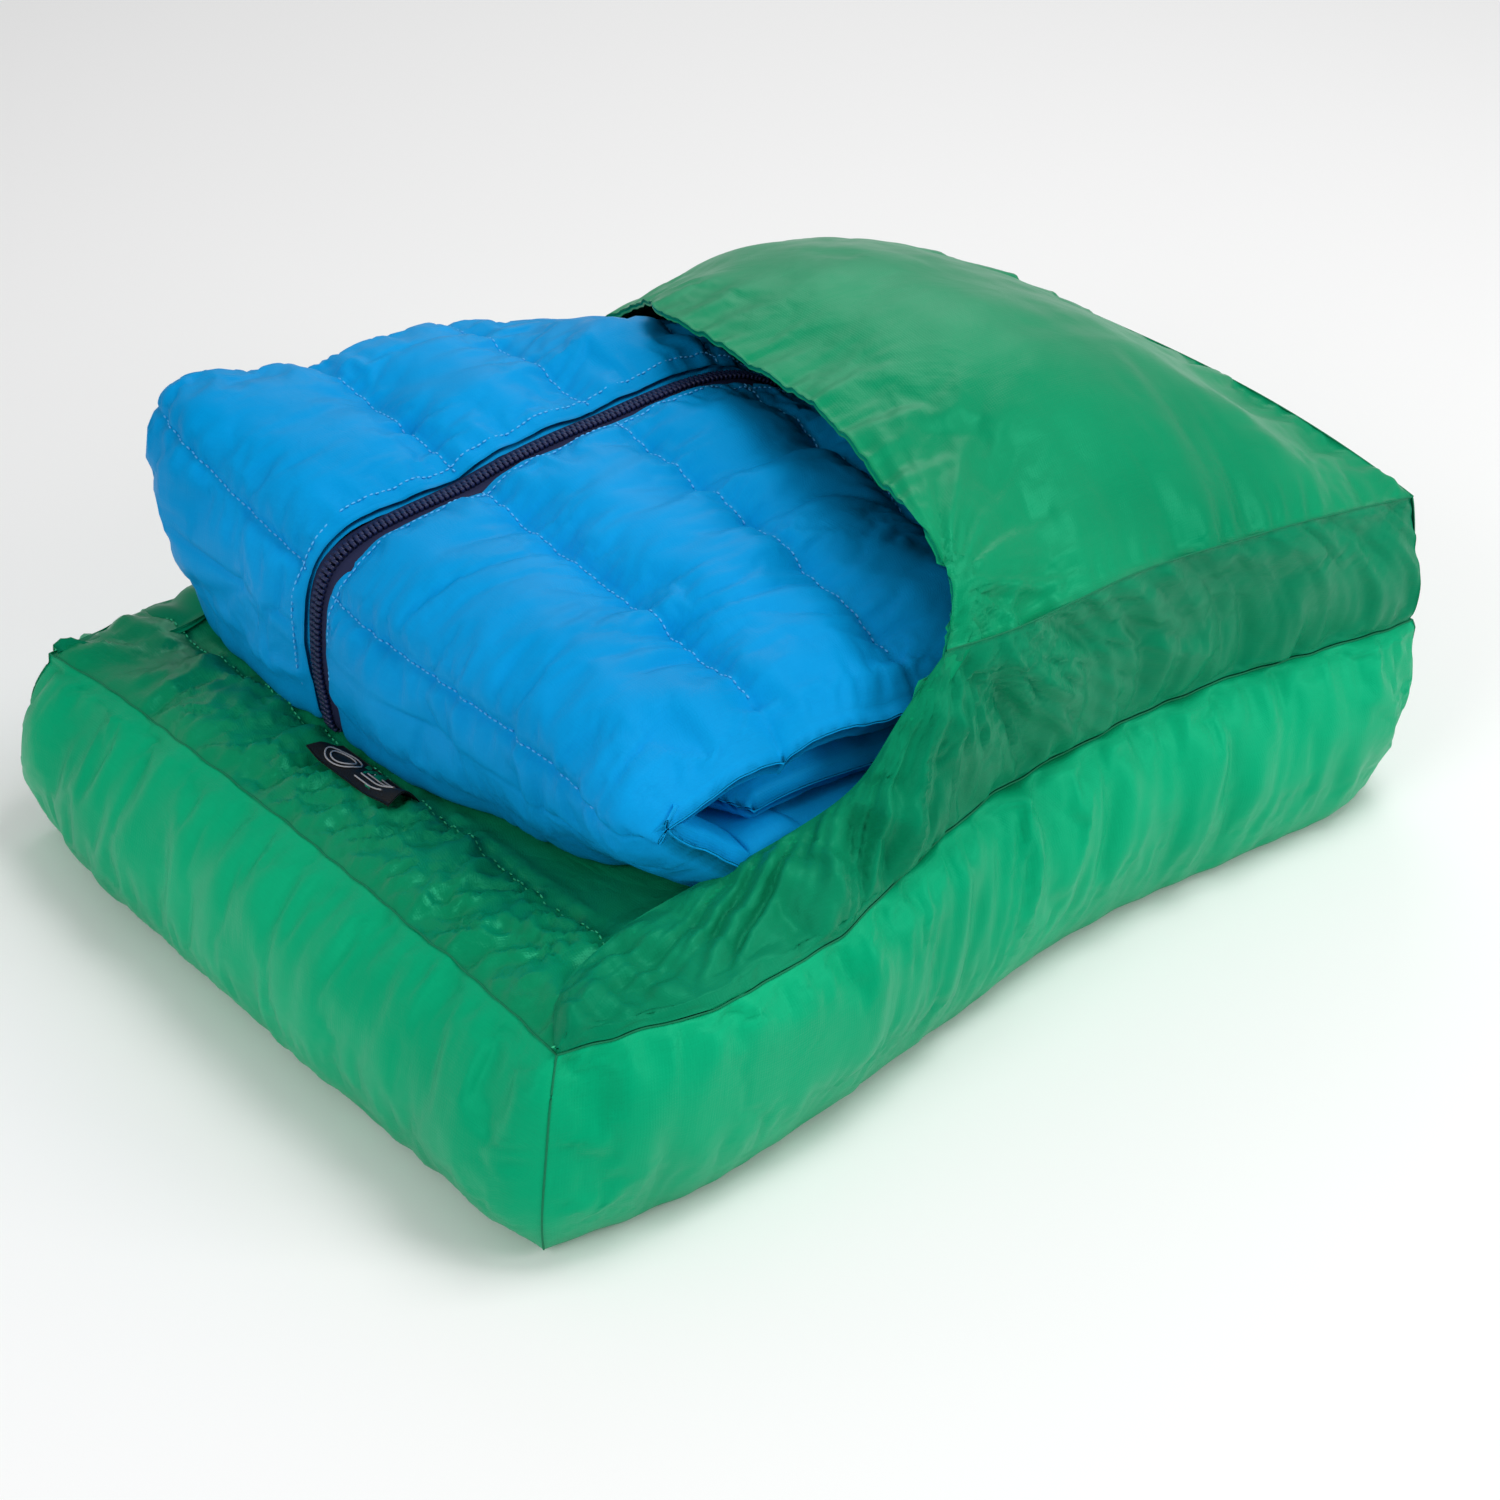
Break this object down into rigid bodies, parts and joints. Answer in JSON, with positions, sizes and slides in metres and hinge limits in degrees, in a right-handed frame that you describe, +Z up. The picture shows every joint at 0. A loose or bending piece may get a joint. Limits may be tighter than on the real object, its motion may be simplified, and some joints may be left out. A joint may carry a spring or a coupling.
{
  "type": "camp pillow with folded quilt",
  "caption": "Boxed down camp pillow whose sewn-on stuff sleeve holds a folded down quilt with a long zip; the quilt slides out of the sleeve's mouth.",
  "frame": {"origin": "middle of the pillow's underside, on the surface it rests on", "axes": "+X towards the closed end of the sleeve, -X towards its mouth, +Z up"},
  "size_m": [0.5, 0.384, 0.2458],
  "materials": {
    "pillow_shell": "light glossy ripstop shell, crinkled along seams",
    "sleeve_shell": "the same thin shell in one layer, darker where nothing backs it",
    "quilt_shell": "soft satin downproof shell, puckered at sewn lines",
    "down": "down filling, unseen",
    "baffle": "light mesh baffle cloth, unseen",
    "label": null,
    "zip_tape": "woven navy zip tape",
    "zip_teeth": "moulded navy acetal teeth",
    "zip_metal": "navy enamelled die casting"
  },
  "bodies": {
    "pillow": {"pillow_bottom_panel": "pillow_shell", "pillow_top_panel": "pillow_shell", "pillow_front_wall": "pillow_shell", "pillow_back_wall": "pillow_shell", "pillow_mouth_end_wall": "pillow_shell", "pillow_closed_end_wall": "pillow_shell", "pillow_down_1": "down", "pillow_down_2": "down", "pillow_down_3": "down", "pillow_down_4": "down", "pillow_down_5": "down", "pillow_baffle_1": "baffle", "pillow_baffle_2": "baffle", "pillow_baffle_3": "baffle", "pillow_baffle_4": "baffle", "sewn_label": "label", "sleeve_top_panel": "pillow_shell", "sleeve_front_wall": "sleeve_shell", "sleeve_back_wall": "sleeve_shell", "sleeve_end_wall": "sleeve_shell", "mouth_hem": "pillow_shell"},
    "quilt": {"quilt_front_channel_1": "quilt_shell", "quilt_front_channel_2": "quilt_shell", "quilt_front_channel_3": "quilt_shell", "quilt_front_channel_4": "quilt_shell", "quilt_front_channel_5": "quilt_shell", "quilt_front_channel_6": "quilt_shell", "quilt_back_channel_1": "quilt_shell", "quilt_back_channel_2": "quilt_shell", "quilt_back_channel_3": "quilt_shell", "quilt_back_channel_4": "quilt_shell", "quilt_back_channel_5": "quilt_shell", "quilt_back_channel_6": "quilt_shell", "quilt_middle_channel_1": "quilt_shell", "quilt_middle_channel_2": "quilt_shell", "quilt_middle_channel_3": "quilt_shell", "quilt_middle_channel_4": "quilt_shell", "quilt_middle_channel_5": "quilt_shell", "quilt_bottom_channel_1": "quilt_shell", "quilt_bottom_channel_2": "quilt_shell", "quilt_bottom_channel_3": "quilt_shell", "quilt_bottom_channel_4": "quilt_shell", "quilt_bottom_channel_5": "quilt_shell", "zip_tape_front": "zip_tape", "zip_tape_back": "zip_tape", "zip_teeth_front": "zip_teeth", "zip_teeth_back": "zip_teeth", "zip_end_stop_front": "zip_metal", "zip_end_stop_back": "zip_metal"},
    "zip_slider": {"zip_slider": "zip_metal"},
    "zip_pull": {"zip_pull": "zip_metal"}
  },
  "joints": [
    {"name": "quilt_slide", "type": "slide", "parent": "pillow", "child": "quilt", "axis": [-1, 0, 0], "range_m": [0, 0.45]},
    {"name": "zip_run", "type": "slide", "parent": "quilt", "child": "zip_slider", "axis": [-1, 0, 0], "range_m": [0, 0.05]},
    {"name": "pull_hinge", "type": "hinge", "parent": "zip_slider", "child": "zip_pull", "pos_m": [0.165, 0.045, 0.16027], "axis": [0, 1, 0], "range_deg": [0, 160]}
  ]
}
